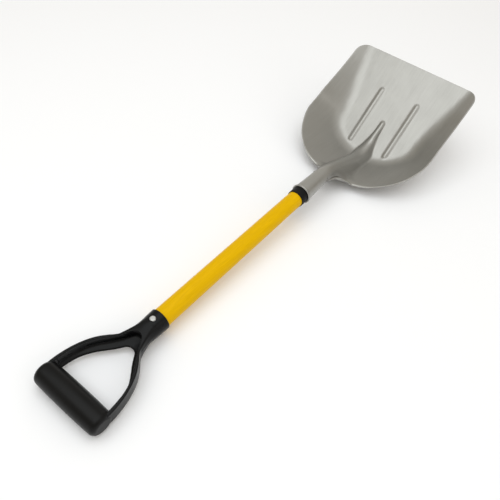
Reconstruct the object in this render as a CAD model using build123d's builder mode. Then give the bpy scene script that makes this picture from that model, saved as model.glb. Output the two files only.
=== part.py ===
from build123d import *
import os
from math import asin, cos, degrees, hypot, radians, sin, sqrt

# Roofing shovel: a pressed aluminium scoop, a fibreglass shaft and a moulded D-grip.
# Everything is drawn in the shaft's frame first: +Y runs along the shaft axis from the
# grip to the blade, +X is to the right and +Z is up. The origin is on the axis, at the
# mouth of the D-grip's socket. The last section lays the shovel down on the floor, face
# up, with the origin on the floor below the middle of its length.

# Shaft: a tapered tube, with a wooden core at the grip and a taper plug at the blade
SHAFT_RADIUS = 17.3
SHAFT_TIP_RADIUS = 16.6
SHAFT_BORE = 13.2
SHAFT_INSERT = 30.0
CORE_LENGTH = 62.0
COLLAR_START = 374.5
COLLAR_CUP = 8.0
COLLAR_RADIUS = 18.2
COLLAR_EDGE = 0.6
SHAFT_END = COLLAR_START + COLLAR_CUP
PLUG_SPIGOT = 50.0
PLUG_END = 478.0
PLUG_FIT = 0.05

# Socket of the scoop, which closes round the taper plug
SHEET = 2.0
LIP_Y = 393.5
LIP_RADIUS = 20.6
LIP_WIDTH = 3.5
SOCKET_MOUTH_RADIUS = 19.3
SOCKET_END_RADIUS = 15.6
SOCKET_END = 484.0
SOCKET_TAPER = (SOCKET_END_RADIUS - SOCKET_MOUTH_RADIUS) / (SOCKET_END - LIP_Y)

# Rivets: a domed head on one side, a washer and a clinched tail on the other
GRIP_RIVET_Y = -17.0
GRIP_RIVET_SHANK = 2.6
GRIP_RIVET_HEAD = 5.3
SOCKET_RIVET_Y = 466.0
SOCKET_RIVET_SHANK = 2.4
SOCKET_RIVET_HEAD = 4.4
HEAD_HEIGHT = 2.2
TAIL_HEIGHT = 1.6
WASHER_THICKNESS = 1.0
SEAT_SINK = 0.7

# D-grip: a socket that flares into two bowed arms, and a core bar inside a fat grip
GRIP_SOCKET_RADIUS = 20.0
GRIP_SOCKET_LENGTH = 32.0
FLARE_Y = -60.0
FLARE_WIDTH = 41.0
ARM_HALF_DEPTH = 14.0
ARM_EDGE = 2.0
CHANNEL_HALF_DEPTH = 10.5
CHANNEL_CUT = 1.6
BAR_Y = -181.5
BAR_RADIUS = 21.2
BAR_END_RADIUS = 20.4
BAR_HALF_LENGTH = 67.0
BAR_END_ROUND = 8.0
CORE_BAR_RADIUS = 13.0
CORE_BAR_HALF_LENGTH = 58.0

# Outlines of the D on its right-hand side, from the socket or the crotch down to the bar.
# The opening is wider on the upper face of the arms than on the lower face.
ARM_OUTLINE = [(20, -45), (20.5, -56), (22.5, -66), (28, -73.5), (34.5, -80.5), (44.5, -93)]
ARM_OUTLINE += [(52.7, -108), (59, -125), (62.9, -141), (65.3, -158)]
OPENING_TOP = [(0, -47), (8.5, -50.5), (20, -68.5), (38, -93.5), (51, -116), (56.5, -134), (59.5, -158)]
OPENING_UNDER = [(0, -65), (9, -68.5), (21, -85.5), (35.5, -103.3), (46, -120), (52, -135), (56, -158)]

# Scoop blade. Its own plane has its origin on the floor of the scoop, between the near
# ends of the ribs, +Y towards the front edge, and its normal up out of the scoop.
LIFT_ANGLE = 37.3
BLADE_ORIGIN = (0, 672.0, -56.0)
BLADE_FRONT = 228.0
BLADE_REAR = -120.0
FRONT_HALF_WIDTH = 125.0
RIM_HALF_WIDTH = 153.5
SECTION_HALF_WIDTH = 160.0
SECTION_POINTS = 49
SECTION_STEPS = 24
FLOOR_REAR_CENTRE = 55.0
FLOOR_REAR_HALF_WIDTH = 100.0
FLOOR_REAR_DEPTH = 73.0
FLOOR_FLARE = 0.145
WALL_SLOPE = 1.16
FRONT_WALL_SLOPE = 0.46
WALL_BLEND = 17.0
NECK_BLEND = 15.0
FROG_BLEND = 3.0
RIDGE_ROUND = 0.8
RIB_X = 49.0
RIB_START = 4.0
RIB_END = 150.0
RIB_WIDTH = 13.0
RIB_HEIGHT = 4.0
FLOOR_PLANING = 0.1

# Top line of the neck, from the socket down the rear wall, and of the frog, the pointed
# ridge that carries it out onto the floor; and the ridge's half-width along the same line.
FROG_TIP = 79.0
CREST = [(-125, 185), (-105, 168), (-75, 122), (-45, 70), (-20, 34), (8, 15), (42, 6), (FROG_TIP, 0)]
RIDGE = [(-125, 17), (-105, 16), (-75, 17), (-45, 19), (-20, 17), (8, 12), (42, 6.5), (FROG_TIP, 3)]

BLADE = Plane(
    origin=BLADE_ORIGIN,
    x_dir=(1, 0, 0),
    z_dir=(0, -sin(radians(LIFT_ANGLE)), cos(radians(LIFT_ANGLE))),
)
ALONG = Plane.YZ


def smooth_step(start, end, value):
    """0 before start, 1 after end, with a smooth S between them."""
    t = min(max((value - start) / (end - start), 0.0), 1.0)
    return t * t * (3 - 2 * t)


def soft_ramp(value, blend):
    """0 below -blend and value above +blend, joined by a parabola."""
    if value <= -blend:
        return 0.0
    if value >= blend:
        return value
    return (value + blend) ** 2 / (4 * blend)


def soft_max(a, b, blend):
    """The larger of two heights, filleted where they cross."""
    return max(a, b) + max(blend - abs(a - b), 0.0) ** 2 / (4 * blend)


def curve_through(knots, y):
    """Height at y of a smooth curve through (y, height) knots."""
    last = len(knots) - 1
    i = 0
    while i < last - 1 and y > knots[i + 1][0]:
        i += 1
    y0, h0 = knots[i]
    y1, h1 = knots[i + 1]
    before = knots[max(i - 1, 0)]
    after = knots[min(i + 2, last)]
    slope0 = (h1 - before[1]) / (y1 - before[0])
    slope1 = (after[1] - h0) / (after[0] - y0)
    t = (y - y0) / (y1 - y0)
    u = 1 - t
    held = h0 * u * u * (1 + 2 * t) + h1 * t * t * (3 - 2 * t)
    turned = slope0 * t * u * u - slope1 * t * t * u
    return held + turned * (y1 - y0)


def wall_height(x, y):
    """Height of the pressed dish above the floor plane, without the neck."""
    forward = y - FLOOR_REAR_CENTRE
    if forward > 0:
        beyond = abs(x) - FLOOR_REAR_HALF_WIDTH - FLOOR_FLARE * forward
    else:
        reach = hypot(x, forward)
        scaled = hypot(x / FLOOR_REAR_HALF_WIDTH, forward / FLOOR_REAR_DEPTH)
        beyond = reach - reach / scaled if scaled > 0.1 else -WALL_BLEND
    slope = WALL_SLOPE + (FRONT_WALL_SLOPE - WALL_SLOPE) * smooth_step(-20, BLADE_FRONT, y)
    return slope * soft_ramp(beyond, WALL_BLEND)


def ridge_height(x, y):
    """Height of the neck and frog above the floor plane: a round top and straight sides."""
    half_width = curve_through(RIDGE, y)
    grade = curve_through(CREST, y + 0.5) - curve_through(CREST, y - 0.5)
    across = min(abs(x) / half_width, RIDGE_ROUND)
    level = sqrt(1 - across * across)
    drop = 1 - level + (abs(x) / half_width - across) * across / level
    return curve_through(CREST, y) - sqrt(1 + grade * grade) * half_width * drop


def dish_height(x, y):
    """Height of the inner face of the scoop above the floor plane."""
    if y >= FROG_TIP:
        return wall_height(x, y)
    blend = FROG_BLEND + NECK_BLEND * smooth_step(0, -90, y)
    return soft_max(wall_height(x, y), ridge_height(x, y), blend)


def under_height(x, y):
    """Height of the outer face, a little over one sheet thickness below the inner face."""
    across = dish_height(x + 0.5, y) - dish_height(x - 0.5, y)
    along = dish_height(x, y + 0.5) - dish_height(x, y - 0.5)
    steepness = min(sqrt(1 + across * across + along * along), 2.2)
    return dish_height(x, y) - SHEET * steepness - FLOOR_PLANING


def blade_section(y):
    """Plane across the blade at y, its local y axis along the blade's normal."""
    return Plane(
        origin=BLADE.from_local_coords((0, y, 0)),
        x_dir=(1, 0, 0),
        z_dir=-BLADE.y_dir,
    )


def socket_radius(y):
    """Outer radius of the tapered socket at y along the shaft."""
    return SOCKET_MOUTH_RADIUS + SOCKET_TAPER * (y - LIP_Y)


# The rivet bores are cut by plain pins, one across the grip socket and one across the neck.
with BuildPart() as grip_rivet_pin:
    with BuildSketch(Plane.XY.offset(-2 * GRIP_SOCKET_RADIUS)):
        with Locations((0, GRIP_RIVET_Y)):
            Circle(GRIP_RIVET_SHANK)
    extrude(amount=4 * GRIP_SOCKET_RADIUS)

with BuildPart() as socket_rivet_pin:
    with BuildSketch(Plane.YZ.offset(-2 * SOCKET_MOUTH_RADIUS)):
        with Locations((SOCKET_RIVET_Y, 0)):
            Circle(SOCKET_RIVET_SHANK)
    extrude(amount=4 * SOCKET_MOUTH_RADIUS)


def rivet(seat, reach, shank, head):
    """A rivet along the seat's normal: its head at +reach and its clinched tail at -reach."""
    with BuildPart() as body:
        with BuildSketch(seat.offset(-reach)):
            Circle(shank)
        extrude(amount=2 * reach)
        with BuildSketch(seat.offset(reach)):
            Circle(head)
        extrude(amount=HEAD_HEIGHT)
        fillet(body.edges().sort_by(Axis(seat.origin, seat.z_dir))[-1], HEAD_HEIGHT * 0.8)
        with BuildSketch(seat.offset(-reach)):
            Circle(shank * 1.5)
        extrude(amount=-TAIL_HEIGHT)
        fillet(body.edges().sort_by(Axis(seat.origin, seat.z_dir))[0], TAIL_HEIGHT * 0.6)
    return body


def rivet_washer(seat, reach, shank, head):
    """The washer under a rivet's tail."""
    with BuildPart() as ring:
        with BuildSketch(seat.offset(-reach)):
            Circle(head)
            Circle(shank + PLUG_FIT, mode=Mode.SUBTRACT)
        extrude(amount=WASHER_THICKNESS)
    return ring


def rivet_seats(seat, reach, head):
    """Flats for a rivet's head and washer, cut square across a round wall."""
    with BuildPart() as flats:
        with BuildSketch(seat.offset(reach)):
            Circle(head + PLUG_FIT)
        extrude(amount=2 * HEAD_HEIGHT)
        with BuildSketch(seat.offset(-reach + WASHER_THICKNESS)):
            Circle(head + PLUG_FIT)
        extrude(amount=-2 * HEAD_HEIGHT)
    return flats


GRIP_SEAT = Plane(origin=(0, GRIP_RIVET_Y, 0), x_dir=(1, 0, 0), z_dir=(0, 0, 1))
GRIP_REACH = GRIP_SOCKET_RADIUS - SEAT_SINK
SOCKET_SEAT = Plane(origin=(0, SOCKET_RIVET_Y, 0), x_dir=(0, 1, 0), z_dir=(-1, 0, 0))
SOCKET_REACH = socket_radius(SOCKET_RIVET_Y) - SEAT_SINK / 2

grip_rivet = rivet(GRIP_SEAT, GRIP_REACH, GRIP_RIVET_SHANK - PLUG_FIT, GRIP_RIVET_HEAD)
grip_rivet_washer = rivet_washer(GRIP_SEAT, GRIP_REACH, GRIP_RIVET_SHANK, GRIP_RIVET_HEAD)
grip_seats = rivet_seats(GRIP_SEAT, GRIP_REACH, GRIP_RIVET_HEAD)
socket_rivet = rivet(SOCKET_SEAT, SOCKET_REACH, SOCKET_RIVET_SHANK - PLUG_FIT, SOCKET_RIVET_HEAD)
socket_rivet_washer = rivet_washer(SOCKET_SEAT, SOCKET_REACH, SOCKET_RIVET_SHANK, SOCKET_RIVET_HEAD)
socket_seats = rivet_seats(SOCKET_SEAT, SOCKET_REACH, SOCKET_RIVET_HEAD)

# Shaft: fibreglass tube
with BuildPart() as shaft_tube:
    with BuildSketch(ALONG):
        with BuildLine():
            Polyline(
                (-SHAFT_INSERT, SHAFT_BORE),
                (-SHAFT_INSERT, SHAFT_RADIUS),
                (0, SHAFT_RADIUS),
                (SHAFT_END, SHAFT_TIP_RADIUS),
                (SHAFT_END, SHAFT_BORE),
                close=True,
            )
        make_face()
    revolve(axis=Axis.Y)
    add(grip_rivet_pin.part, mode=Mode.SUBTRACT)

# Wooden core inside the grip end of the shaft, which stops the rivet crushing the tube
with BuildPart() as shaft_core:
    with BuildSketch(Plane.XZ.offset(SHAFT_INSERT)):
        Circle(SHAFT_BORE - PLUG_FIT)
    extrude(amount=-CORE_LENGTH)
    chamfer(shaft_core.edges().filter_by(GeomType.CIRCLE), 1)
    add(grip_rivet_pin.part, mode=Mode.SUBTRACT)

# Taper plug: a spigot in the shaft, the collar that shows, and a peg in the scoop's socket
with BuildPart() as taper_plug:
    with BuildSketch(ALONG):
        with BuildLine():
            Polyline(
                (SHAFT_END - PLUG_SPIGOT, 0),
                (SHAFT_END - PLUG_SPIGOT, SHAFT_BORE - PLUG_FIT),
                (SHAFT_END, SHAFT_BORE - PLUG_FIT),
                (SHAFT_END, SHAFT_TIP_RADIUS + PLUG_FIT),
                (COLLAR_START, SHAFT_TIP_RADIUS + PLUG_FIT),
                (COLLAR_START, COLLAR_RADIUS - COLLAR_EDGE),
                (COLLAR_START + COLLAR_EDGE, COLLAR_RADIUS),
                (LIP_Y, COLLAR_RADIUS),
                (LIP_Y, socket_radius(LIP_Y) - SHEET - PLUG_FIT),
                (PLUG_END, socket_radius(PLUG_END) - SHEET - PLUG_FIT),
                (PLUG_END, 0),
                close=True,
            )
        make_face()
    revolve(axis=Axis.Y)
    add(socket_rivet_pin.part, mode=Mode.SUBTRACT)

# D-grip frame: round socket, flare, bowed arms with a channel inside them, and a core bar
with BuildPart() as arm_opening:
    for height, half in ((-ARM_HALF_DEPTH - 1, OPENING_UNDER), (ARM_HALF_DEPTH + 1, OPENING_TOP)):
        with BuildSketch(Plane.XY.offset(height)):
            with BuildLine():
                Spline(*half, tangents=((1, 0), (0.1, -1)))
                Polyline(half[-1], (half[-1][0], BAR_Y), (0, BAR_Y), half[0])
            make_face()
            mirror(about=Plane.YZ)
    loft(ruled=True)

with BuildPart() as arm_channel:
    with BuildSketch(Plane.XY.offset(-CHANNEL_HALF_DEPTH)):
        with BuildLine():
            half = [(x, y + CHANNEL_CUT) for x, y in OPENING_TOP[:2]]
            half += [(x + CHANNEL_CUT, y + CHANNEL_CUT / 2) for x, y in OPENING_TOP[2:]]
            Spline(*half, tangents=((1, 0), (0.1, -1)))
            Polyline(half[-1], (0, half[-1][1]), half[0])
        make_face()
        mirror(about=Plane.YZ)
    extrude(amount=2 * CHANNEL_HALF_DEPTH)

with BuildPart() as d_grip_frame:
    with BuildSketch(Plane.XY.offset(-ARM_HALF_DEPTH)):
        with BuildLine():
            Line((0, ARM_OUTLINE[0][1]), ARM_OUTLINE[0])
            Spline(*ARM_OUTLINE, tangents=((0, -1), (0.1, -1)))
            Line(ARM_OUTLINE[-1], (ARM_OUTLINE[-1][0], BAR_Y))
            Polyline((ARM_OUTLINE[-1][0], BAR_Y), (0, BAR_Y), (0, ARM_OUTLINE[0][1]))
        make_face()
        mirror(about=Plane.YZ)
    extrude(amount=2 * ARM_HALF_DEPTH)
    fillet(d_grip_frame.edges().filter_by(Axis.Z, reverse=True).filter_by(GeomType.BSPLINE), ARM_EDGE)
    with BuildSketch(Plane.XZ):
        Circle(GRIP_SOCKET_RADIUS)
    extrude(amount=GRIP_SOCKET_LENGTH)
    with BuildSketch(Plane.XZ.offset(GRIP_SOCKET_LENGTH)):
        Circle(GRIP_SOCKET_RADIUS)
    with BuildSketch(Plane.XZ.offset(-FLARE_Y)):
        RectangleRounded(FLARE_WIDTH, 2 * ARM_HALF_DEPTH, ARM_HALF_DEPTH - 1)
    loft()
    add(arm_opening.part, mode=Mode.SUBTRACT)
    add(arm_channel.part, mode=Mode.SUBTRACT)
    with BuildSketch(Plane.YZ.offset(-CORE_BAR_HALF_LENGTH)):
        with Locations((BAR_Y, 0)):
            Circle(CORE_BAR_RADIUS)
    extrude(amount=2 * CORE_BAR_HALF_LENGTH)
    with BuildSketch(Plane.XZ):
        Circle(SHAFT_RADIUS + PLUG_FIT)
    extrude(amount=SHAFT_INSERT, mode=Mode.SUBTRACT)
    add(grip_rivet_pin.part, mode=Mode.SUBTRACT)
    add(grip_seats.part, mode=Mode.SUBTRACT)

# Grip sleeve: a barrel with rounded ends, moulded round the core bar and the arms' feet
with BuildPart() as grip_sleeve:
    with BuildSketch():
        with BuildLine():
            Line((0, BAR_Y), (0, BAR_Y + BAR_RADIUS))
            ThreePointArc(
                (0, BAR_Y + BAR_RADIUS),
                (BAR_HALF_LENGTH / 2, BAR_Y + BAR_RADIUS - (BAR_RADIUS - BAR_END_RADIUS) / 4),
                (BAR_HALF_LENGTH, BAR_Y + BAR_END_RADIUS),
            )
            Line((BAR_HALF_LENGTH, BAR_Y + BAR_END_RADIUS), (BAR_HALF_LENGTH, BAR_Y))
            Line((BAR_HALF_LENGTH, BAR_Y), (0, BAR_Y))
        make_face()
        mirror(about=Plane.YZ)
    revolve(axis=Axis((0, BAR_Y, 0), (1, 0, 0)))
    fillet(grip_sleeve.faces().filter_by(Axis.X).edges(), BAR_END_ROUND)
    add(d_grip_frame.part, mode=Mode.SUBTRACT)

# Ribs of the scoop: beads pressed up from below, so each has a groove under it
with BuildPart() as rib_beads:
    with BuildSketch(BLADE.offset(-SHEET / 2)):
        with Locations((-RIB_X, (RIB_START + RIB_END) / 2), (RIB_X, (RIB_START + RIB_END) / 2)):
            SlotOverall(RIB_END - RIB_START, RIB_WIDTH, rotation=90)
    extrude(amount=RIB_HEIGHT + SHEET / 2)
    fillet(rib_beads.edges().group_by(Axis(BLADE.origin, BLADE.z_dir))[-1], RIB_HEIGHT * 0.8)

with BuildPart() as rib_grooves:
    with BuildSketch(BLADE.offset(-2 * SHEET)):
        with Locations((-RIB_X, (RIB_START + RIB_END) / 2), (RIB_X, (RIB_START + RIB_END) / 2)):
            SlotOverall(RIB_END - RIB_START - 2 * SHEET, RIB_WIDTH - 2 * SHEET, rotation=90)
    extrude(amount=RIB_HEIGHT + SHEET)

# Scoop: the pressed dish is a loft through sections of the sheet, trimmed to its outline
with BuildPart() as scoop_blade:
    for step in range(SECTION_STEPS + 1):
        y = BLADE_REAR + (BLADE_FRONT + 4 - BLADE_REAR) * (step / SECTION_STEPS) ** 1.25
        columns = [
            SECTION_HALF_WIDTH * (2 * i / (SECTION_POINTS - 1) - 1) for i in range(SECTION_POINTS)
        ]
        top = [(x, dish_height(x, y)) for x in columns]
        under = [(x, under_height(x, y)) for x in columns]
        with BuildSketch(blade_section(y)):
            with BuildLine():
                Spline(*top)
                Line(top[-1], under[-1])
                Spline(*reversed(under))
                Line(under[0], top[0])
            make_face()
    loft()
    with BuildSketch(BLADE.offset(-20)):
        with BuildLine():
            Line((0, BLADE_FRONT), (FRONT_HALF_WIDTH, BLADE_FRONT))
            Spline(
                (FRONT_HALF_WIDTH, BLADE_FRONT),
                (146, BLADE_FRONT - 9),
                (RIM_HALF_WIDTH, BLADE_FRONT - 32),
                tangents=((1, 0), (0, -1)),
            )
            Line((RIM_HALF_WIDTH, BLADE_FRONT - 32), (RIM_HALF_WIDTH, 30))
            Spline(
                (RIM_HALF_WIDTH, 30),
                (140, -25),
                (106, -70),
                (52, -103),
                tangents=((0, -1), (-1, -0.3)),
            )
            Polyline((52, -103), (28, -101), (17, -112), (0, -112), (0, BLADE_FRONT))
        make_face()
        mirror(about=Plane.YZ)
    extrude(amount=300, mode=Mode.INTERSECT)
    # the floor's underside is one true plane
    with BuildSketch(BLADE.offset(-SHEET)):
        Rectangle(4 * RIM_HALF_WIDTH, 4 * BLADE_FRONT)
    extrude(amount=-2 * SHEET, mode=Mode.SUBTRACT)
    add(rib_beads.part)
    add(rib_grooves.part, mode=Mode.SUBTRACT)
    with BuildSketch(ALONG):
        with BuildLine():
            Polyline(
                (LIP_Y, socket_radius(LIP_Y) - SHEET),
                (LIP_Y, SOCKET_MOUTH_RADIUS),
            )
            ThreePointArc(
                (LIP_Y, SOCKET_MOUTH_RADIUS),
                (LIP_Y + LIP_WIDTH / 2, LIP_RADIUS),
                (LIP_Y + LIP_WIDTH, socket_radius(LIP_Y + LIP_WIDTH)),
            )
            Polyline(
                (LIP_Y + LIP_WIDTH, socket_radius(LIP_Y + LIP_WIDTH)),
                (SOCKET_END, SOCKET_END_RADIUS),
                (SOCKET_END, SOCKET_END_RADIUS - SHEET),
                (LIP_Y, socket_radius(LIP_Y) - SHEET),
            )
        make_face()
    revolve(axis=Axis.Y)
    with BuildSketch(ALONG):
        with BuildLine():
            Polyline(
                (LIP_Y, 0),
                (LIP_Y, socket_radius(LIP_Y) - SHEET),
                (SOCKET_END, SOCKET_END_RADIUS - SHEET),
                (SOCKET_END, 0),
                close=True,
            )
        make_face()
    revolve(axis=Axis.Y, mode=Mode.SUBTRACT)
    add(socket_rivet_pin.part, mode=Mode.SUBTRACT)
    add(socket_seats.part, mode=Mode.SUBTRACT)

PIECES = {
    "scoop_blade": scoop_blade,
    "shaft_tube": shaft_tube,
    "shaft_core": shaft_core,
    "taper_plug": taper_plug,
    "d_grip_frame": d_grip_frame,
    "grip_sleeve": grip_sleeve,
    "grip_rivet": grip_rivet,
    "grip_rivet_washer": grip_rivet_washer,
    "socket_rivet": socket_rivet,
    "socket_rivet_washer": socket_rivet_washer,
}

# Lay the shovel down: it rests on the grip and on the heel of the scoop, so the shaft
# tips until both are at the same height.
tilt = 0.0
for attempt in range(4):
    turned = Location((0, 0, 0), (tilt, 0, 0))
    grip_low = turned * grip_sleeve.part
    heel_low = turned * scoop_blade.part
    gap = grip_low.bounding_box().min.Z - heel_low.bounding_box().min.Z
    tilt += degrees(asin(gap / (BLADE_ORIGIN[1] - BAR_Y)))
turned = Location((0, 0, 0), (tilt, 0, 0))
whole = Compound([turned * piece.part for piece in PIECES.values()]).bounding_box()
LAID_DOWN = Location((0, -whole.center().Y, -whole.min.Z)) * turned
print(f"shaft tilt {tilt:.3f} degrees, size {whole.size}")
print("frame", LAID_DOWN)

os.makedirs("parts", exist_ok=True)
for name, piece in PIECES.items():
    piece.part = LAID_DOWN * piece.part
    piece.part.label = name
    export_step(piece.part, f"parts/{name}.step")
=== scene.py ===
"""Looks of the roofing shovel: scoop, shaft and D-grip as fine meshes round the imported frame."""

import math

import bpy
import numpy as np
from mathutils import Matrix, Vector


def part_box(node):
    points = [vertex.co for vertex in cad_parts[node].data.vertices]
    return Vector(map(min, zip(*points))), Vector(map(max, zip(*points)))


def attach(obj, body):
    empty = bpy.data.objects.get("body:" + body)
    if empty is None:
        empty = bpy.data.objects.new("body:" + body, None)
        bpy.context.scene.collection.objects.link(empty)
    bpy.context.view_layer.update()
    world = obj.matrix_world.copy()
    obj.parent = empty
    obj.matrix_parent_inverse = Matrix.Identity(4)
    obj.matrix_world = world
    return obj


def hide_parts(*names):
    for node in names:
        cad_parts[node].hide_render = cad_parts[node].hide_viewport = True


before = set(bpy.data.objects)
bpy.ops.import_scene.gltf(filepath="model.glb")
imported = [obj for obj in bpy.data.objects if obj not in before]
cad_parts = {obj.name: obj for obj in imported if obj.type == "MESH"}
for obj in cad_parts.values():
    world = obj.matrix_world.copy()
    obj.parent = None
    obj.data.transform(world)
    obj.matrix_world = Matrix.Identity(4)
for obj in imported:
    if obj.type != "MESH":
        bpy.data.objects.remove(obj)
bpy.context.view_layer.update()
BODY = "root"
MM = 0.001

# Places along the shaft, in millimetres from the mouth of the D-grip's socket.
CORE_MIDDLE = 1.0
SHAFT_START = -30.0
COLLAR_START = 374.5
SHAFT_END = 382.5
LIP_Y = 393.5
BAR_Y = -181.5

# The blade's own frame: its origin in the shaft's frame, and how far it is tipped up.
BLADE_ORIGIN = (0, 672, -56)
BLADE_LIFT = math.radians(37.3)


# ---------------------------------------------------------------- frames and mesh helpers

def middle(node):
    """Centre of a CAD node, on the shovel's centre plane."""
    low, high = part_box(node)
    point = (Vector(low) + Vector(high)) / 2
    point.x = 0
    return point


def shaft_frame():
    """Millimetres along the shaft (+Y), across it (+X) and above it (+Z), to the row frame."""
    core = middle("shaft_core")
    along = (middle("socket_rivet") - core).normalized()
    across = Vector((1, 0, 0))
    axes = Matrix((across, along, across.cross(along))).transposed().to_4x4()
    mouth = core - along * CORE_MIDDLE * MM
    return Matrix.Translation(mouth) @ axes @ Matrix.Scale(MM, 4)


SHAFT = shaft_frame()
BLADE = SHAFT @ Matrix.Translation(BLADE_ORIGIN) @ Matrix.Rotation(BLADE_LIFT, 4, "X")
SHAFT_TO_BLADE = BLADE.inverted() @ SHAFT


def moved(points, matrix):
    """An array of points, carried by a 4x4 matrix."""
    m = np.array(matrix)
    return points @ m[:3, :3].T + m[:3, 3]


def make_piece(name, points, faces, material, uv=None):
    """A smooth-shaded mesh object in the row frame that rides on the shovel."""
    mesh = bpy.data.meshes.new(name)
    mesh.from_pydata([tuple(p) for p in points], [], [tuple(f) for f in faces])
    mesh.validate()
    mesh.update()
    if uv is not None:
        layer = mesh.uv_layers.new(name="sheet")
        corners = np.array([loop.vertex_index for loop in mesh.loops])
        layer.data.foreach_set("uv", uv[corners].astype(np.float32).ravel())
    mesh.polygons.foreach_set("use_smooth", [True] * len(mesh.polygons))
    mesh.materials.append(material)
    piece = bpy.data.objects.new(name, mesh)
    bpy.context.scene.collection.objects.link(piece)
    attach(piece, BODY)
    return piece


def smooth_step(start, end, value):
    """0 before start, 1 after end, with a smooth S between them."""
    t = np.clip((value - start) / (end - start), 0.0, 1.0)
    return t * t * (3 - 2 * t)


def soft_join(a, b, blend):
    """The smaller of two heights or distances, filleted where they cross."""
    return np.minimum(a, b) - np.maximum(blend - np.abs(a - b), 0) ** 2 / (4 * blend)


def through(knots, at):
    """Values at these places of a smooth curve through (place, value) knots."""
    places = np.array([k[0] for k in knots], float)
    values = np.array([k[1] for k in knots], float)
    slopes = np.gradient(values, places)
    slopes[1:-1] = (values[2:] - values[:-2]) / (places[2:] - places[:-2])
    at = np.clip(np.asarray(at, float), places[0], places[-1])
    i = np.clip(np.searchsorted(places, at) - 1, 0, len(places) - 2)
    span = places[i + 1] - places[i]
    t = (at - places[i]) / span
    u = 1 - t
    held = values[i] * u * u * (1 + 2 * t) + values[i + 1] * t * t * (3 - 2 * t)
    return held + span * (slopes[i] * t * u * u - slopes[i + 1] * t * t * u)


def curve_points(knots, per_span):
    """Points of a smooth curve through the knots, per_span to each stretch."""
    knots = np.array(knots, float)
    run = np.concatenate([[0], np.cumsum(np.linalg.norm(np.diff(knots, axis=0), axis=1))])
    spans = len(knots) - 1
    at = np.interp(np.linspace(0, spans, per_span * spans + 1), range(spans + 1), run)
    return np.stack([through(list(zip(run, line)), at) for line in knots.T], axis=1)


# ---------------------------------------------------------------- materials

class Nodes:
    """A short way to write a node material."""

    def __init__(self, name):
        self.material = bpy.data.materials.new(name)
        self.material.use_nodes = True
        self.tree = self.material.node_tree
        self.shader = self.tree.nodes["Principled BSDF"]

    def add(self, kind, **values):
        node = self.tree.nodes.new(kind)
        for key, value in values.items():
            if key in node.inputs:
                node.inputs[key].default_value = value
            else:
                setattr(node, key, value)
        return node

    def join(self, source, target):
        self.tree.links.new(source, target)

    def set(self, **values):
        for key, value in values.items():
            self.shader.inputs[key.replace("_", " ")].default_value = value

    def coordinates(self, scale, space="Object"):
        if space == "UV":
            source = self.add("ShaderNodeUVMap", uv_map="sheet").outputs["UV"]
        else:
            source = self.add("ShaderNodeTexCoord").outputs[space]
        mapping = self.add("ShaderNodeMapping", Scale=scale)
        self.join(source, mapping.inputs["Vector"])
        return mapping.outputs["Vector"]

    def noise(self, vector, scale, detail=4.0, roughness=0.55, distortion=0.0):
        node = self.add(
            "ShaderNodeTexNoise", Scale=scale, Detail=detail, Roughness=roughness, Distortion=distortion
        )
        self.join(vector, node.inputs["Vector"])
        return node.outputs["Fac"]

    def ramp(self, factor, *stops):
        node = self.add("ShaderNodeValToRGB")
        for element, (place, colour) in zip(node.color_ramp.elements, stops):
            element.position = place
            element.color = (*colour, 1)
        self.join(factor, node.inputs["Fac"])
        return node.outputs["Color"]

    def remap(self, factor, low, high, to_low, to_high):
        node = self.add("ShaderNodeMapRange")
        names = ("From Min", "From Max", "To Min", "To Max")
        for key, value in zip(names, (low, high, to_low, to_high)):
            node.inputs[key].default_value = value
        self.join(factor, node.inputs["Value"])
        return node.outputs["Result"]

    def mix(self, factor, a, b):
        node = self.add("ShaderNodeMix", data_type="RGBA")
        self.join(factor, node.inputs[0])
        for value, socket in ((a, node.inputs[6]), (b, node.inputs[7])):
            if isinstance(value, tuple):
                socket.default_value = (*value, 1)
            else:
                self.join(value, socket)
        return node.outputs[2]

    def maths(self, operation, a, b=0.0):
        node = self.add("ShaderNodeMath", operation=operation)
        for value, socket in ((a, node.inputs[0]), (b, node.inputs[1])):
            if isinstance(value, (int, float)):
                socket.default_value = value
            else:
                self.join(value, socket)
        return node.outputs[0]

    def bump(self, height, distance, strength=1.0):
        node = self.add("ShaderNodeBump")
        node.inputs["Strength"].default_value = strength
        node.inputs["Distance"].default_value = distance
        self.join(height, node.inputs["Height"])
        self.join(node.outputs["Normal"], self.shader.inputs["Normal"])


def aluminium_material():
    """Pressed aluminium sheet: satin, slightly wavy, with faint drawing lines along the blade."""
    n = Nodes("pressed_aluminium")
    n.set(Metallic=0.82)
    streaks = n.noise(n.coordinates((38, 1.5, 1), "UV"), 1.0, 5, 0.6)
    clouds = n.noise(n.coordinates((1.6, 1.6, 1), "UV"), 1.0, 3, 0.5)
    scratches = n.noise(n.coordinates((150, 3, 1), "UV"), 1.0, 2, 0.5)
    colour = n.mix(clouds, (0.348, 0.341, 0.320), (0.393, 0.388, 0.370))
    shade = n.maths("MULTIPLY", n.remap(streaks, 0.3, 0.7, 0.0, 1.0), 0.35)
    n.join(n.mix(shade, colour, (0.31, 0.303, 0.283)), n.shader.inputs["Base Color"])
    dull = n.remap(clouds, 0.3, 0.7, 0.34, 0.44)
    n.join(n.maths("ADD", dull, n.remap(streaks, 0.3, 0.7, -0.03, 0.03)), n.shader.inputs["Roughness"])
    waves = n.noise(n.coordinates((2.4, 1.7, 1), "UV"), 1.0, 2, 0.5)
    fine = n.maths("MULTIPLY", n.maths("ADD", streaks, n.maths("MULTIPLY", scratches, 0.5)), 0.018)
    n.bump(n.maths("ADD", waves, fine), 0.0014)
    return n.material


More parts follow.
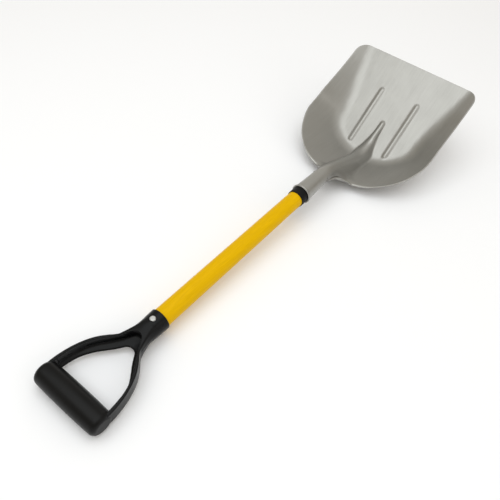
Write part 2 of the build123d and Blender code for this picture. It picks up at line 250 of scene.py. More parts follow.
def plastic_material(name, dark, light, rough, grain, depth):
    """Moulded plastic with a fine spark-eroded grain and slight clouding."""
    n = Nodes(name)
    n.set(Specular_IOR_Level=0.15)
    place = n.coordinates((1, 1, 1))
    clouds = n.noise(place, 28, 3)
    fine = n.noise(place, grain, 2)
    n.join(n.mix(clouds, dark, light), n.shader.inputs["Base Color"])
    n.join(n.remap(clouds, 0.3, 0.7, rough - 0.05, rough + 0.05), n.shader.inputs["Roughness"])
    n.bump(fine, depth, 0.6)
    return n.material


def fibreglass_material():
    """Yellow pultruded fibreglass: a smooth resin skin over faint lengthwise strands."""
    n = Nodes("yellow_fibreglass_skin")
    n.set(Roughness=0.34, Specular_IOR_Level=0.05)
    strands = n.noise(n.coordinates((900, 9, 900)), 1.0, 3, 0.6)
    colour = n.mix(n.remap(strands, 0.35, 0.65, 0, 1), (0.685, 0.395, 0.001), (0.765, 0.45, 0.0015))
    n.join(colour, n.shader.inputs["Base Color"])
    n.bump(strands, 0.00004, 0.4)
    return n.material


def metal_material(name, colour, rough):
    """Small bright fastener, with fine turning marks."""
    n = Nodes(name)
    n.set(Metallic=1.0)
    marks = n.noise(n.coordinates((1, 1, 1)), 900, 3)
    n.join(n.mix(marks, tuple(c * 0.85 for c in colour), colour), n.shader.inputs["Base Color"])
    n.join(n.remap(marks, 0.3, 0.7, rough - 0.06, rough + 0.06), n.shader.inputs["Roughness"])
    n.bump(marks, 0.00004, 0.5)
    return n.material


def wood_material():
    """Turned softwood core, hidden inside the shaft."""
    n = Nodes("core_wood_grain")
    rings = n.noise(n.coordinates((60, 4, 60)), 4, 4, 0.6, 1.5)
    colour = n.ramp(rings, (0.3, (0.42, 0.25, 0.12)), (0.7, (0.62, 0.43, 0.24)))
    n.join(colour, n.shader.inputs["Base Color"])
    n.set(Roughness=0.7)
    n.bump(rings, 0.0003, 0.4)
    return n.material


ALUMINIUM = aluminium_material()
YELLOW = fibreglass_material()
SOOT = (0.003, 0.003, 0.003)
CHARCOAL = (0.006, 0.006, 0.006)
NYLON = plastic_material("black_nylon_collar", SOOT, CHARCOAL, 0.5, 1800, 0.00004)
POLYPROPYLENE = plastic_material(
    "black_polypropylene", (0.0028, 0.003, 0.0033), (0.005, 0.0053, 0.0058), 0.28, 1500, 0.00005
)
GRIP = plastic_material("black_grip_skin", SOOT, CHARCOAL, 0.34, 1300, 0.00008)
BRIGHT = metal_material("bright_rivet", (0.50, 0.50, 0.49), 0.3)
STEEL = metal_material("plated_steel", (0.30, 0.295, 0.28), 0.36)
WOOD = wood_material()


# ---------------------------------------------------------------- scoop

# The dish, in millimetres in the blade's frame: origin on the floor, +Y to the front edge.
SHEET = 2.0
BLADE_FRONT = 228.0
FRONT_HALF_WIDTH = 125.0
RIM_HALF_WIDTH = 153.5
CORNER_LENGTH = 32.0
FLOOR_REAR_CENTRE = 55.0
FLOOR_REAR_HALF_WIDTH = 100.0
FLOOR_REAR_DEPTH = 73.0
FLOOR_FLARE = 0.205
FLARE_EASE = 30.0
WALL_SLOPE = 1.16
FRONT_WALL_SLOPE = 0.57
SLOPE_EASES = (-20, BLADE_FRONT)
WALL_BLEND = 17.0
FRONT_WALL_BLEND = 10.0
BLEND_TIGHTENS = (110, BLADE_FRONT)
RIM_ROUND = 0.45

# Raised ribs, and the frog: the pointed ridge that runs from the neck out onto the floor.
RIB_X = 46.8
RIB_START = -1.0
RIB_END = 152.5
RIB_RADIUS = 9.0
RIB_HEIGHT = 3.1
RIB_FLANK = 8.8
RIB_UNDER_SHRINK = 1.4
FROG_TIP = 83.0
FROG_END_START = 30.0
FROG_END_HEIGHT = 3.0
FROG_END_FADES_IN = (16, 50)
FROG_TIP_SINK = 6.0
RIDGE_ROUND = 0.8
RIDGE_BLEND = 3.0
NECK_BLEND_GAIN = 15.0
NECK_BLEND_GROWS = (0, -90)
BELOW_THE_FLOOR = -100.0
CREST = [(-125, 185), (-105, 168), (-75, 122), (-45, 70), (-20, 34), (8, 15), (42, 6), (FROG_TIP, 0)]
RIDGE = [
    (-125, 17), (-105, 16), (-75, 17), (-45, 19), (-20, 17), (8, 12.3), (42, 8.3), (FROG_TIP, 6),
]

# Rim of the rear wall (x, y), then of the neck (x, y, z) as far as the tube.
STRAIGHT_RIM_END = 30.0
LOBE_ROW = -84.0
NECK_END_ROW = -107.0
REAR_RIM = [
    (RIM_HALF_WIDTH, STRAIGHT_RIM_END), (151, 5), (140, -25), (125, -50), (106, -70), (82, -88), (54, -101),
]
NECK_RIM = [(54, -101, 99), (46, -102, 101), (38, -103, 109), (29, -104, 125), (21, -108, 135)]

# The lip turned out on the rear lobes: its width, and how far it goes out and down.
LOBE_LIP = 7.0
LOBE_OUT = 2.0
LOBE_DROP = 1.6

# The neck's rows: a round crown over this share of the row, then a flare out to the rim.
CROWN_SHARE = 0.62
CROWN_BEND = 80.0
CROWN_BEND_GAIN = 40.0

# The tapered socket. Its edges nearly meet from the lip to SEAM_CLOSES, then draw apart.
SOCKET_MOUTH_RADIUS = 19.3
SOCKET_TAPER = -0.0409
SEAM_ANGLE = math.pi * (1 - 0.035)
OPEN_ANGLE = math.radians(127)
SEAM_CLOSES = 452.0
TUBE_LAYOUT_HALF_WIDTH = 52.0

# Its rolled lip: a bead and the groove behind it, by their distances from the lip.
BEAD_RISE = 2.3
BEAD_MIDDLE = 2.0
GROOVE_SINK = 0.3
GROOVE_MIDDLE = 6.5
BEAD_WIDTH = 1.6

# How finely the sheet is divided: spans of columns (from x, to x, count), then rows.
COLUMN_SPANS = [(0, 20, 20), (20, 41, 10), (41, 57, 16), (57, 125, 22), (125, RIM_HALF_WIDTH, 16)]
CORNER_ROWS = 14
STRAIGHT_ROWS = 64
REAR_ROWS_PER_KNOT = 9
NECK_ROWS_PER_KNOT = 6
TUBE_ROWS = 46
ROW_STEP = 1.2
SMOOTHING_SWEEPS = 26


def socket_radius(y):
    """Outer radius of the tapered socket at y along the shaft."""
    return SOCKET_MOUTH_RADIUS + SOCKET_TAPER * (y - LIP_Y)


def wall_height(x, y):
    """Height of the pressed dish above the floor plane, without the neck."""
    forward = y - FLOOR_REAR_CENTRE
    ahead = np.maximum(forward, 0.0)
    side = np.abs(x) - FLOOR_REAR_HALF_WIDTH - FLOOR_FLARE * ahead * ahead / (ahead + FLARE_EASE)
    reach = np.hypot(x, forward)
    scaled = np.maximum(np.hypot(x / FLOOR_REAR_HALF_WIDTH, forward / FLOOR_REAR_DEPTH), 0.05)
    beyond = np.where(forward > 0, side, reach - reach / scaled)
    ease = WALL_BLEND + (FRONT_WALL_BLEND - WALL_BLEND) * smooth_step(*BLEND_TIGHTENS, y)
    ramp = np.where(beyond > ease, beyond, np.maximum(beyond + ease, 0) ** 2 / (4 * ease))
    slope = WALL_SLOPE + (FRONT_WALL_SLOPE - WALL_SLOPE) * smooth_step(*SLOPE_EASES, y)
    return slope * ramp


def ridge_height(x, y):
    """Height of the neck and frog above the floor plane: a round top and straight sides."""
    half_width = through(RIDGE, y)
    grade = through(CREST, y + 0.5) - through(CREST, y - 0.5)
    across = np.minimum(np.abs(x) / half_width, RIDGE_ROUND)
    level = np.sqrt(1 - across * across)
    drop = 1 - level + (np.abs(x) / half_width - across) * across / level
    sink = FROG_TIP_SINK * smooth_step(FROG_TIP - 12, FROG_TIP + 2, y)
    return through(CREST, y) - np.sqrt(1 + grade * grade) * half_width * drop - sink


def dish_height(x, y):
    """Height of the inner face of the scoop above the floor plane."""
    wall = wall_height(x, y)
    ridge = np.where(y > FROG_TIP + 4, BELOW_THE_FLOOR, ridge_height(x, y))
    blend = RIDGE_BLEND + NECK_BLEND_GAIN * smooth_step(*NECK_BLEND_GROWS, y)
    return -soft_join(-wall, -ridge, blend)


def rib_rise(x, y, radius):
    """Height of the pressed ribs and the frog's end above the floor, for beads of this radius."""
    past = y - np.clip(y, RIB_START + RIB_RADIUS, RIB_END - RIB_RADIUS)
    away = np.hypot(np.abs(x) - RIB_X, past)
    ribs = RIB_HEIGHT * smooth_step(radius, radius - RIB_FLANK, away)
    past = y - np.clip(y, FROG_END_START, FROG_TIP - RIB_RADIUS)
    away = np.hypot(x, past)
    frog_end = FROG_END_HEIGHT * smooth_step(radius, radius - RIB_FLANK, away)
    return np.maximum(ribs, frog_end * smooth_step(*FROG_END_FADES_IN, y))


def sheet_columns():
    """Places of the columns across half the sheet, from 0 at the middle to 1 at the rim."""
    places = [0.0]
    for start, end, count in COLUMN_SPANS:
        places += [start + (end - start) * (k + 1) / count for k in range(count)]
    return np.array(places) / RIM_HALF_WIDTH


def sheet_rows():
    """Rows of the dish, front to rear: (y at the middle, x at the rim, y at the rim)."""
    rows = []
    corner_end = BLADE_FRONT - CORNER_LENGTH
    for k in range(CORNER_ROWS):
        y = BLADE_FRONT - CORNER_LENGTH * (1 - math.cos(math.pi / 2 * k / CORNER_ROWS))
        past = (y - corner_end) / CORNER_LENGTH
        bulge = math.sqrt(max(1 - past * past, 0.0))
        rows.append((y, FRONT_HALF_WIDTH + (RIM_HALF_WIDTH - FRONT_HALF_WIDTH) * bulge, y))
    for k in range(STRAIGHT_ROWS + 1):
        y = corner_end + (STRAIGHT_RIM_END - corner_end) * k / STRAIGHT_ROWS
        rows.append((y, RIM_HALF_WIDTH, y))
    rim = curve_points(REAR_RIM, REAR_ROWS_PER_KNOT)[1:]
    for k, (x, y) in enumerate(rim):
        rows.append((STRAIGHT_RIM_END + (LOBE_ROW - STRAIGHT_RIM_END) * (k + 1) / len(rim), x, y))
    return rows


def tube_ring(y, angles):
    """Points round the tapered socket at y along the shaft, with its rolled lip."""
    past_lip = y - LIP_Y
    bead = BEAD_RISE * math.exp(-((past_lip - BEAD_MIDDLE) / BEAD_WIDTH) ** 2)
    groove = GROOVE_SINK * math.exp(-((past_lip - GROOVE_MIDDLE) / BEAD_WIDTH) ** 2)
    radius = socket_radius(y) + bead - groove
    ring = np.stack([radius * np.sin(angles), np.full_like(angles, y), radius * np.cos(angles)], axis=1)
    return moved(ring, SHAFT_TO_BLADE)


def dish_row(across, centre, rim_x, rim_y):
    """One row over the dish, bowed from its middle to the rim."""
    x = across * rim_x
    y = centre + (rim_y - centre) * np.abs(across)
    return np.stack([x, y, dish_height(x, y)], axis=1)


def neck_row(crest_y, rim, across, bend):
    """One row over the neck where the tube opens out: round on top, flared to the rim."""
    radius = through(RIDGE, crest_y)
    grade = through(CREST, crest_y + 0.5) - through(CREST, crest_y - 0.5)
    length = math.sqrt(1 + grade * grade)
    normal = np.array([0, -grade / length, 1 / length])
    hub = np.array([0, crest_y, through(CREST, crest_y)]) - radius * normal
    reach = np.abs(across)
    aside = np.where(across < 0, -1.0, 1.0)[:, None] * (1, 0, 0)
    bend = math.radians(bend)

    angle = aside[:, 0] * np.minimum(reach / CROWN_SHARE, 1) * bend
    crown = hub + np.outer(np.sin(angle), [radius, 0, 0]) + np.outer(np.cos(angle), radius * normal)

    foot = hub + aside * radius * math.sin(bend) + radius * math.cos(bend) * normal
    end = rim * (aside + (0, 1, 1))
    gap = np.linalg.norm(end - foot, axis=1, keepdims=True)
    leaving = aside * math.cos(bend) - math.sin(bend) * normal
    arriving = aside * 0.9 - normal * 0.3
    arriving = arriving / np.linalg.norm(arriving, axis=1, keepdims=True)
    first = foot + leaving * gap * 0.45
    second = end - arriving * gap * 0.35
    t = np.clip((reach - CROWN_SHARE) / (1 - CROWN_SHARE), 0, 1)[:, None]
    u = 1 - t
    flare = foot * u ** 3 + 3 * first * u * u * t + 3 * second * u * t * t + end * t ** 3
    return np.where(reach[:, None] <= CROWN_SHARE, crown, flare)


def turn_out_lobes(face, dish_rows):
    """Turn the rim outward where the two rear lobes meet the neck."""
    rows = np.arange(len(face))
    share = smooth_step(dish_rows - 16, dish_rows - 5, rows)
    share = share * (1 - smooth_step(dish_rows + 3, dish_rows + 12, rows))
    for step in (1, -1):
        strip = face[:, ::step][:, :24]
        run = np.cumsum(np.linalg.norm(np.diff(strip, axis=1), axis=2), axis=1)
        run = np.concatenate([np.zeros((len(face), 1)), run], axis=1)
        near = np.clip(1 - run / LOBE_LIP, 0, 1) ** 2
        out = strip[:, 0] - strip[:, 4]
        out[:, 2] = 0
        out /= np.linalg.norm(out, axis=1, keepdims=True)
        push = out[:, None] * LOBE_OUT - np.array([0, 0, LOBE_DROP])
        strip += push * (near * share[:, None])[..., None]


def ease_rows(face, first, last):
    """Even out the rows between these two, along and across the sheet."""
    for sweep in range(SMOOTHING_SWEEPS):
        held = face[first - 1:last + 1].copy()
        along = (held[:-2] + held[2:]) / 2
        aside = held[1:-1].copy()
        aside[:, 1:-1] = (held[1:-1, :-2] + held[1:-1, 2:]) / 2
        face[first:last] = held[1:-1] * 0.4 + along * 0.4 + aside * 0.2


def scoop_shell():
    """Points of the sheet's upper face, row by row in the blade's frame, and its flat layout."""
    half = sheet_columns()
    centre = len(half) - 1
    across = np.concatenate([-half[:0:-1], half])
    reach = np.abs(across)
    even = np.linspace(0, 1, len(half))
    even = np.concatenate([-even[:0:-1], even])
    face, sheet = [], []

    for y, rim_x, rim_y in sheet_rows():
        face.append(dish_row(across, y, rim_x, rim_y))
        sheet.append(np.stack([across * rim_x, np.full_like(across, y)], axis=1))
    dish_rows = len(face)

    # The dish's last row turns, row by row, into the opened end of the tube.
    neck_rim = curve_points(NECK_RIM, NECK_ROWS_PER_KNOT)
    nearer_end = np.where(across > 0, -1, 0)
    for k in range(1, len(neck_rim)):
        done = k / (len(neck_rim) - 1)
        y = LOBE_ROW + (NECK_END_ROW - LOBE_ROW) * done
        rim = neck_rim[k]
        columns = across + (even - across) * smooth_step(0, 1, done)
        row = neck_row(y, rim, columns, CROWN_BEND + CROWN_BEND_GAIN * done)
        plain = dish_row(across, y, rim[0], rim[1])
        plain = plain + (row - plain)[nearer_end] * reach[:, None] ** 3
        mix = smooth_step(0, 0.55, done)
        face.append(plain * (1 - mix) + row * mix)
        x = across * rim[0]
        x = x + (even * TUBE_LAYOUT_HALF_WIDTH - x) * smooth_step(0, 1, done)
        sheet.append(np.stack([x, np.full_like(x, y)], axis=1))

    # The tube closes on its seam and runs down to the lip.
    opened = face[-1]
    tube_start = (SHAFT_TO_BLADE.inverted() @ Vector(opened[centre])).y - ROW_STEP
    for k in range(TUBE_ROWS + 1):
        y = tube_start + (LIP_Y - tube_start) * k / TUBE_ROWS
        open_part = smooth_step(SEAM_CLOSES, tube_start, y)
        ring = tube_ring(y, even * (SEAM_ANGLE - (SEAM_ANGLE - OPEN_ANGLE) * open_part))
        carried = opened + (ring[centre] - opened[centre])
        face.append(ring * (1 - open_part ** 3) + carried * open_part ** 3)
        layout_y = NECK_END_ROW - ROW_STEP - (tube_start - y)
        sheet.append(np.stack([even * TUBE_LAYOUT_HALF_WIDTH, np.full_like(even, layout_y)], axis=1))

    face = np.array(face)
    turn_out_lobes(face, dish_rows)
    ease_rows(face, dish_rows - 4, dish_rows + len(neck_rim) + 5)
    return face, np.array(sheet), dish_rows


def grid_normals(grid):
    """Unit normals of a grid of points, up out of the scoop."""
    normal = np.cross(np.gradient(grid, axis=0), np.gradient(grid, axis=1))
    normal /= np.linalg.norm(normal, axis=2, keepdims=True)
    return normal * np.sign(normal[4, grid.shape[1] // 2, 2])


def make_scoop():
    """The pressed scoop: an upper face, an underside and a rounded rim round the whole sheet."""
    face, sheet, dish_rows = scoop_shell()
    rows, columns = face.shape[:2]
    count = rows * columns
    normal = grid_normals(face)
    flat = np.zeros((rows, columns))
    flat[:dish_rows] = 1.0
    x, y = face[..., 0], face[..., 1]
    rise = rib_rise(x, y, RIB_RADIUS) * flat
    under_rise = rib_rise(x, y, RIB_RADIUS - RIB_UNDER_SHRINK) * flat
    tops = (face + normal * rise[..., None]).reshape(-1, 3)
    unders = (face + normal * (under_rise - SHEET)[..., None]).reshape(-1, 3)

    number = np.arange(count).reshape(rows, columns)
    loop = np.concatenate([number[0, :], number[1:, -1], number[-1, -2::-1], number[-2:0:-1, 0]])
    centre_line = ((tops + unders) / 2)[loop]
    ahead = np.roll(centre_line, -1, axis=0) - np.roll(centre_line, 1, axis=0)
    out = np.cross(ahead, normal.reshape(-1, 3)[loop])
    out /= np.linalg.norm(out, axis=1, keepdims=True)
    inward = face[rows // 3, columns // 2] - centre_line
    out *= np.sign(-np.sum(out[:40] * inward[:40], axis=1).mean())
    edge = [tops[loop] * (1 - t) + unders[loop] * t + out * RIM_ROUND for t in (0.22, 0.78)]

    quads = [number[:-1, :-1], number[:-1, 1:], number[1:, 1:], number[1:, :-1]]
    quads = np.stack(quads, axis=-1).reshape(-1, 4)
    faces = [quads, quads[:, ::-1] + count]
    edge_numbers = 2 * count + np.arange(len(loop))
    rings = [loop, edge_numbers, edge_numbers + len(loop), loop + count]
    for a, b in zip(rings[:-1], rings[1:]):
        faces.append(np.stack([a, b, np.roll(b, -1), np.roll(a, -1)], axis=1))

    points = moved(np.concatenate([tops, unders, *edge]), BLADE)
    uv = sheet.reshape(-1, 2) / 100
    uv = np.concatenate([uv, uv, uv[loop], uv[loop]])
    return make_piece("scoop", points, np.concatenate(faces), ALUMINIUM, uv)


# ---------------------------------------------------------------- turned pieces

SHAFT_RADIUS = 17.3
SHAFT_NARROWING = 0.7
SHAFT_BORE = 13.2
SPIGOT_START = 332.5
SPIGOT_RADIUS = 13.15
COLLAR_BORE = 16.65
COLLAR_RADIUS = 18.2
PEG_RADIUS = 17.2
PEG_END = 478.0
PEG_END_RADIUS = 13.75
LATHE_SIDES = 96
ARC_STEPS = 4


def lathe(name, profile, material, matrix=SHAFT):
    """A solid turned round its Y axis from (y, radius) points, from axis to axis or a closed loop."""
    points, faces, rings = [], [], []
    for y, radius in profile:
        if radius <= 0:
            rings.append([len(points)] * LATHE_SIDES)
            points.append((0, y, 0))
            continue
        ring = []
        for k in range(LATHE_SIDES):
            angle = 2 * math.pi * k / LATHE_SIDES
            ring.append(len(points))
            points.append((radius * math.sin(angle), y, radius * math.cos(angle)))
        rings.append(ring)
    pairs = list(zip(rings[:-1], rings[1:]))
    if profile[0][1] > 0:
        pairs.append((rings[-1], rings[0]))
    for a, b in pairs:
        for k in range(LATHE_SIDES):
            n = (k + 1) % LATHE_SIDES
            if a[k] == a[n]:
                faces.append((a[k], b[n], b[k]))
            elif b[k] == b[n]:
                faces.append((a[k], a[n], b[k]))
            else:
                faces.append((a[k], a[n], b[n], b[k]))
    return make_piece(name, moved(np.array(points, float), matrix), faces, material)


def rounded(corners, radius):
    """A (y, radius) profile with its corners rounded off by short arcs."""
    corners = [np.array(c, float) for c in corners]
    out = [corners[0]]
    for before, corner, after in zip(corners[:-2], corners[1:-1], corners[2:]):
        a, b = before - corner, after - corner
        cut = min(radius, np.linalg.norm(a) * 0.45, np.linalg.norm(b) * 0.45)
        a = corner + a / np.linalg.norm(a) * cut
        b = corner + b / np.linalg.norm(b) * cut
        for k in range(ARC_STEPS + 1):
            t = k / ARC_STEPS
            out.append(a * (1 - t) ** 2 + corner * 2 * t * (1 - t) + b * t * t)
    out.append(corners[-1])
    return [tuple(p) for p in out]


def make_shaft():
    """The yellow tube, open at both ends."""
    places = [SHAFT_START + (SHAFT_END - SHAFT_START) * k / 40 for k in range(41)]
    outside = [(y, SHAFT_RADIUS - SHAFT_NARROWING * max(y, 0) / SHAFT_END) for y in places]
    profile = [(SHAFT_START, SHAFT_BORE)] + outside + [(SHAFT_END, SHAFT_BORE)]
    return lathe("yellow_shaft", profile, YELLOW)


def make_plug():
    """The black plug: spigot in the tube, visible collar and tapered peg in the socket."""
    corners = [
        (SPIGOT_START, 0), (SPIGOT_START, SPIGOT_RADIUS), (SHAFT_END, SPIGOT_RADIUS),
        (SHAFT_END, COLLAR_BORE), (COLLAR_START, COLLAR_BORE), (COLLAR_START, COLLAR_RADIUS),
        (LIP_Y, COLLAR_RADIUS), (LIP_Y, PEG_RADIUS), (PEG_END, PEG_END_RADIUS), (PEG_END, 0),
    ]
    return lathe("black_collar", rounded(corners, 0.7), NYLON)


# ---------------------------------------------------------------- D-grip

# The moulded frame: arms, socket (y, radius), the skirt under the socket, channel and bore.
# A pair is the span, along the shaft or through the depth, over which a change takes place.
ARM_HALF_DEPTH = 14.0
ARM_EDGE = 2.6
SOCKET_STATIONS = [(-61, 19.6), (-50, 18.9), (-38, 18.7), (-22, 19.2), (0, 20)]
SOCKET_EDGE = 1.3
SOCKET_FLATTENING = 0.3
SOCKET_FLATTENS = (-14, -58)
SKIRT = 2.4
SKIRT_GROWS = (-40, -60)
SKIRT_BELOW = (3, -5)
ROOT_BLEND = 2.5
ROOT_BLEND_GAIN = 7.0
ROOT_BLEND_GROWS = (-5, 5)
OPENING_WIDENS = (-12.5, -4.0)
OPENING_EDGE = 1.6
CHANNEL_CUT = 2.2
CHANNEL_UNDER = (-10.5, -7.0)
CHANNEL_OVER = (9.2, 10.8)
CHANNEL_ENDS = (BAR_Y + 20, BAR_Y + 27)
GRIP_BORE = 17.35
BORE_EDGE = 0.8
CORE_BAR_RADIUS = 13.0
CORE_BAR_HALF_LENGTH = 58.0

# The barrel on the bar, and the step at which the frame is sampled.
BARREL_RADIUS = 21.4
BARREL_NARROWING = 1.5
BARREL_HALF_LENGTH = 67.0
BARREL_ROUND = 9.0
GRIP_STEP = 0.9

# Outlines of the D on its right-hand side. The opening is wider on the arms' upper face.
ARM_OUTLINE = [
    (9, -27), (12.5, -38), (16.5, -49), (20, -59), (23.2, -67), (28, -73.5), (34.5, -80.5), (44.5, -93),
    (52.7, -108), (59, -125), (62.9, -141), (65.3, -158), (66, BAR_Y),
]
OPENING_TOP = [
    (0, -47), (4.5, -47.8), (8.5, -50.5), (13, -57), (20, -68.5), (29.5, -82.5), (38, -93.5), (45, -104),
    (51, -116), (56.5, -134), (59.5, -158), (60, BAR_Y),
]
OPENING_UNDER = [
    (0, -65), (4.5, -65.8), (9, -68.5), (14.5, -76.5), (21, -85.5), (35.5, -103.3), (46, -120), (52, -135),
    (56, -158), (56.5, BAR_Y),
]


def mirrored(half):
    """A closed outline from its right half."""
    return np.concatenate([half, half[::-1] * (-1, 1)])


def outline_distance(x, y, outline):
    """Signed distance to a closed plane outline, negative inside."""
    nearest = np.full(x.shape, 1e9)
    inside = np.zeros(x.shape, bool)
    for (ax, ay), (bx, by) in zip(outline, np.roll(outline, -1, axis=0)):
        dx, dy = bx - ax, by - ay
        length = dx * dx + dy * dy
        if length < 1e-12:
            continue
        t = np.clip(((x - ax) * dx + (y - ay) * dy) / length, 0, 1)
        nearest = np.minimum(nearest, (x - ax - t * dx) ** 2 + (y - ay - t * dy) ** 2)
        if dy != 0:
            inside ^= ((ay > y) != (by > y)) & (x < dx * (y - ay) / dy + ax)
    return np.where(inside, -1, 1) * np.sqrt(nearest)


def soft_cut(a, b, blend):
    """Distance a with b taken away, its edges eased."""
    return -soft_join(-a, b, blend)


def rounded_solid(u, w, round_edge):
    """Distance to where two distances are both negative, its edge rounded."""
    u = u + round_edge
    w = w + round_edge
    return np.minimum(np.maximum(u, w), 0) + np.hypot(np.maximum(u, 0), np.maximum(w, 0)) - round_edge


def tapered_tube(x, y, z, stations, round_edge):
    """Distance to a body turned round the Y axis through (y, radius) stations."""
    ys, radii = zip(*stations)
    around = np.hypot(x, z) - np.interp(y, ys, radii)
    return rounded_solid(around, np.maximum(y - ys[-1], ys[0] - y), round_edge)


GRIP_PLANS = [mirrored(curve_points(half, 6)) for half in (ARM_OUTLINE, OPENING_TOP, OPENING_UNDER)]


def grip_field(x, y, z, plans=None):
    """Distance to the moulded frame of the D-grip, negative inside, in the shaft's frame."""
    outer, top, under = plans or [outline_distance(x, y, plan) for plan in GRIP_PLANS]
    arms = rounded_solid(outer, np.abs(z) - ARM_HALF_DEPTH, ARM_EDGE)
    flat = 1 - SOCKET_FLATTENING * smooth_step(*SOCKET_FLATTENS, y)
    skirt = SKIRT * smooth_step(*SKIRT_GROWS, y) * smooth_step(*SKIRT_BELOW, z)
    socket = tapered_tube(x, y, z / flat, SOCKET_STATIONS, SOCKET_EDGE) * flat - skirt
    body = soft_join(arms, socket, ROOT_BLEND + ROOT_BLEND_GAIN * smooth_step(*ROOT_BLEND_GROWS, z))

    upper = smooth_step(*OPENING_WIDENS, z)
    channel = smooth_step(*CHANNEL_UNDER, z) * (1 - smooth_step(*CHANNEL_OVER, z))
    recess = CHANNEL_CUT * channel * smooth_step(*CHANNEL_ENDS, y)
    body = soft_cut(body, under * (1 - upper) + top * upper - recess, OPENING_EDGE)

    core_bar = np.maximum(np.hypot(y - BAR_Y, z) - CORE_BAR_RADIUS, np.abs(x) - CORE_BAR_HALF_LENGTH)
    bore = np.maximum(np.hypot(x, z) - GRIP_BORE, SHAFT_START - y)
    return soft_cut(np.minimum(body, core_bar), bore, BORE_EDGE)


def surface_net(field, low, step):
    """Points and quads of the surface where a sampled field changes sign."""
    inside = field < 0
    nx, ny, nz = (n - 1 for n in field.shape)
    corners = [inside[i:nx + i, j:ny + j, k:nz + k] for i in (0, 1) for j in (0, 1) for k in (0, 1)]
    held = sum(c.astype(np.int8) for c in corners)
    active = (held > 0) & (held < 8)
    number = np.full(active.shape, -1)
    number[active] = np.arange(active.sum())

    # One point in each cell that the surface crosses: the mean of its edges' crossings.
    total = np.zeros((*active.shape, 3), np.float32)
    weight = np.zeros(active.shape, np.float32)
    for axis in range(3):
        for a in (0, 1):
            for b in (0, 1):
                near = [a, b]
                near.insert(axis, 0)
                far = list(near)
                far[axis] = 1
                f0 = field[near[0]:nx + near[0], near[1]:ny + near[1], near[2]:nz + near[2]]
                f1 = field[far[0]:nx + far[0], far[1]:ny + far[1], far[2]:nz + far[2]]
                cut = (f0 < 0) != (f1 < 0)
                t = np.where(cut, f0 / np.where(cut, f0 - f1, 1), 0)
                spot = np.array(near, np.float32) + np.zeros((*cut.shape, 3), np.float32)
                spot[..., axis] += t
                total += spot * cut[..., None]
                weight += cut
    points = low + step * (np.argwhere(active) + total[active] / weight[active][:, None])

    # One quad round each sample edge that the surface crosses, between its four cells.
    quads = []
    for axis in range(3):
        one, two = [k for k in range(3) if k != axis]
        first = [slice(1, -1)] * 3
        first[axis] = slice(0, -1)
        second = list(first)
        second[axis] = slice(1, None)
        a, b = inside[tuple(first)], inside[tuple(second)]
        for leaving in (True, False):
            edges = np.argwhere((a & ~b) if leaving else (~a & b))
            edges[:, one] += 1
            edges[:, two] += 1
            ring = []
            for da, db in ((0, 0), (1, 0), (1, 1), (0, 1)):
                spot = edges.copy()
                spot[:, one] -= da
                spot[:, two] -= db
                ring.append(number[spot[:, 0], spot[:, 1], spot[:, 2]])
            quad = np.stack(ring, axis=1)
            quads.append(quad[:, ::-1] if leaving == (axis == 1) else quad)
    return points, np.concatenate(quads)


def make_grip_frame():
    """The moulded D: round socket, flare and bowed arms with a channel along their inner faces."""
    low = np.array([-69.0, BAR_Y - 16, -22.5])
    high = np.array([69.0, 2.5, 22.5])
    size = np.ceil((high - low) / GRIP_STEP).astype(int)
    xs, ys, zs = (low[k] + GRIP_STEP * np.arange(size[k]) for k in range(3))
    plan_x, plan_y = np.meshgrid(xs, ys, indexing="ij")
    plans = [outline_distance(plan_x, plan_y, plan)[..., None] for plan in GRIP_PLANS]
    field = grip_field(*np.meshgrid(xs, ys, zs, indexing="ij"), plans)
    points, quads = surface_net(field, low, GRIP_STEP)

    # Draw the points onto the true surface, along the slope of the field.
    nudge = 0.05
    for sweep in range(3):
        p = points.T
        value = grip_field(*p)
        slope = [(grip_field(*(p + np.eye(3)[:, k:k + 1] * nudge)) - value) / nudge for k in range(3)]
        slope = np.stack(slope, axis=1)
        square = np.maximum((slope * slope).sum(axis=1), 0.25)
        points = points - slope * (value / square).clip(-0.4, 0.4)[:, None]
    return make_piece("d_grip", moved(points, SHAFT), quads, POLYPROPYLENE)


def make_barrel():
    """The fat grip: a barrel with rounded ends, turned round the bar."""
    straight = BARREL_HALF_LENGTH - BARREL_ROUND
    profile = []
    for k in range(41):
        x = straight * (k / 20 - 1)
        profile.append((x, BARREL_RADIUS - BARREL_NARROWING * (abs(x) / BARREL_HALF_LENGTH) ** 2.5))
    end = profile[-1][1] - BARREL_ROUND
    ends = [
        (straight + BARREL_ROUND * math.sin(a), end + BARREL_ROUND * math.cos(a))
        for a in np.linspace(0, math.pi / 2, 12)[1:]
    ]
    tip = BARREL_HALF_LENGTH + 0.01
    profile = [(-tip, 0)] + [(-x, r) for x, r in reversed(ends)] + profile + ends + [(tip, 0)]
    turn = Matrix.Translation((0, BAR_Y, 0)) @ Matrix.Rotation(-math.pi / 2, 4, "Z")
    return lathe("grip_barrel", profile, GRIP, SHAFT @ turn)


# ---------------------------------------------------------------- assembly

scoop = make_scoop()
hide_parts("scoop_blade")

shaft = make_shaft()
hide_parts("shaft_tube")

plug = make_plug()
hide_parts("taper_plug")

d_grip = make_grip_frame()
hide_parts("d_grip_frame")

barrel = make_barrel()
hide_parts("grip_sleeve")

for node, material in (
    ("shaft_core", WOOD),
    ("grip_rivet", BRIGHT),
    ("grip_rivet_washer", STEEL),
    ("socket_rivet", STEEL),
    ("socket_rivet_washer", STEEL),
):
    for part_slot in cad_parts[node].material_slots:
        part_slot.material = material


# ---------------------------------------------------------------- floor, light and camera

# Colour of the world at each height: 0 at the horizon and below, 1 overhead.
SKY = [
    (0.0, (0.86, 0.85, 0.82)), (0.09, (0.80, 0.78, 0.74)), (0.27, (0.37, 0.325, 0.255)),
    (0.42, (0.50, 0.465, 0.40)), (0.80, (0.80, 0.78, 0.735)),
]


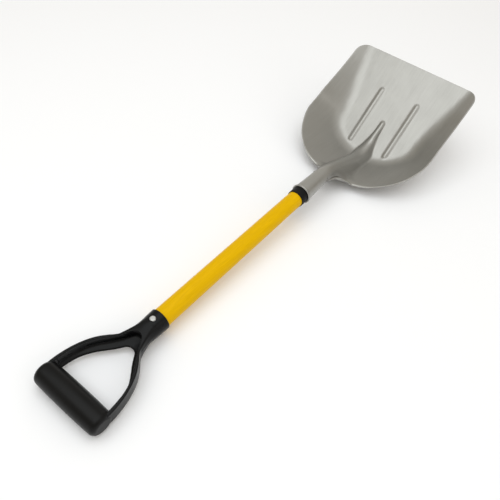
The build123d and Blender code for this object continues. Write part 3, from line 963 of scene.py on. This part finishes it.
def make_floor():
    """A pale floor under the shovel."""
    mesh = bpy.data.meshes.new("floor")
    mesh.from_pydata([(-6, -6, 0), (6, -6, 0), (6, 6, 0), (-6, 6, 0)], [], [(0, 1, 2, 3)])
    n = Nodes("pale_floor")
    n.set(Base_Color=(0.945, 0.95, 0.975, 1), Roughness=0.9, Specular_IOR_Level=0.0)
    mesh.materials.append(n.material)
    floor = bpy.data.objects.new("floor", mesh)
    bpy.context.scene.collection.objects.link(floor)


def make_light(name, place, aim, size, power, colour=(1, 1, 1)):
    """A soft rectangular light that points at a place."""
    light = bpy.data.lights.new(name, "AREA")
    light.energy = power
    light.color = colour
    light.shape = "RECTANGLE"
    light.size, light.size_y = size
    lamp = bpy.data.objects.new(name, light)
    lamp.location = place
    lamp.visible_camera = False
    lamp.rotation_mode = "QUATERNION"
    lamp.rotation_quaternion = (Vector(aim) - Vector(place)).to_track_quat("-Z", "Y")
    bpy.context.scene.collection.objects.link(lamp)


def make_camera():
    """The camera, placed by its bearing, height and distance from the point it looks at."""
    target = Vector((0.0111, -0.1039, 0.0306))
    distance = 1.0199
    azimuth, elevation, roll = (math.radians(a) for a in (31.94, 47.92, 9.26))
    level = math.cos(elevation)
    back = Vector((math.sin(azimuth) * level, -math.cos(azimuth) * level, math.sin(elevation)))
    data = bpy.data.cameras.new("camera")
    data.sensor_width = 36.0
    data.lens = 39.6
    data.clip_start = 0.01
    camera = bpy.data.objects.new("camera", data)
    camera.location = target + back * distance
    camera.rotation_mode = "QUATERNION"
    straight = (-back).to_track_quat("-Z", "Y")
    camera.rotation_quaternion = straight @ Matrix.Rotation(roll, 3, "Z").to_quaternion()
    bpy.context.scene.collection.objects.link(camera)
    bpy.context.scene.camera = camera


def make_world():
    """Pale light all round, with a dimmer band a little above the horizon."""
    world = bpy.data.worlds.new("studio")
    world.use_nodes = True
    tree = world.node_tree
    place = tree.nodes.new("ShaderNodeTexCoord")
    height = tree.nodes.new("ShaderNodeSeparateXYZ")
    fade = tree.nodes.new("ShaderNodeValToRGB")
    while len(fade.color_ramp.elements) < len(SKY):
        fade.color_ramp.elements.new(0.5)
    for element, (position, colour) in zip(fade.color_ramp.elements, SKY):
        element.position = position
        element.color = (*colour, 1)
    tree.links.new(place.outputs["Generated"], height.inputs[0])
    tree.links.new(height.outputs["Z"], fade.inputs["Fac"])
    tree.links.new(fade.outputs["Color"], tree.nodes["Background"].inputs["Color"])
    bpy.context.scene.world = world
    bpy.context.scene.view_settings.view_transform = "Standard"


make_floor()
make_world()
make_light(
    "key", place=(-0.06, -0.45, 2.15), aim=(0.05, 0.40, 0.1), size=(2.4, 2.8), power=28,
    colour=(0.92, 0.97, 1.0),
)
make_light("fill", place=(2.2, 0.1, 1.15), aim=(0, 0.3, 0.1), size=(1.6, 1.4), power=4)
make_light("back", place=(-1.3, 2.5, 0.75), aim=(0, 0.4, 0.1), size=(1.8, 1.2), power=4)
make_camera()
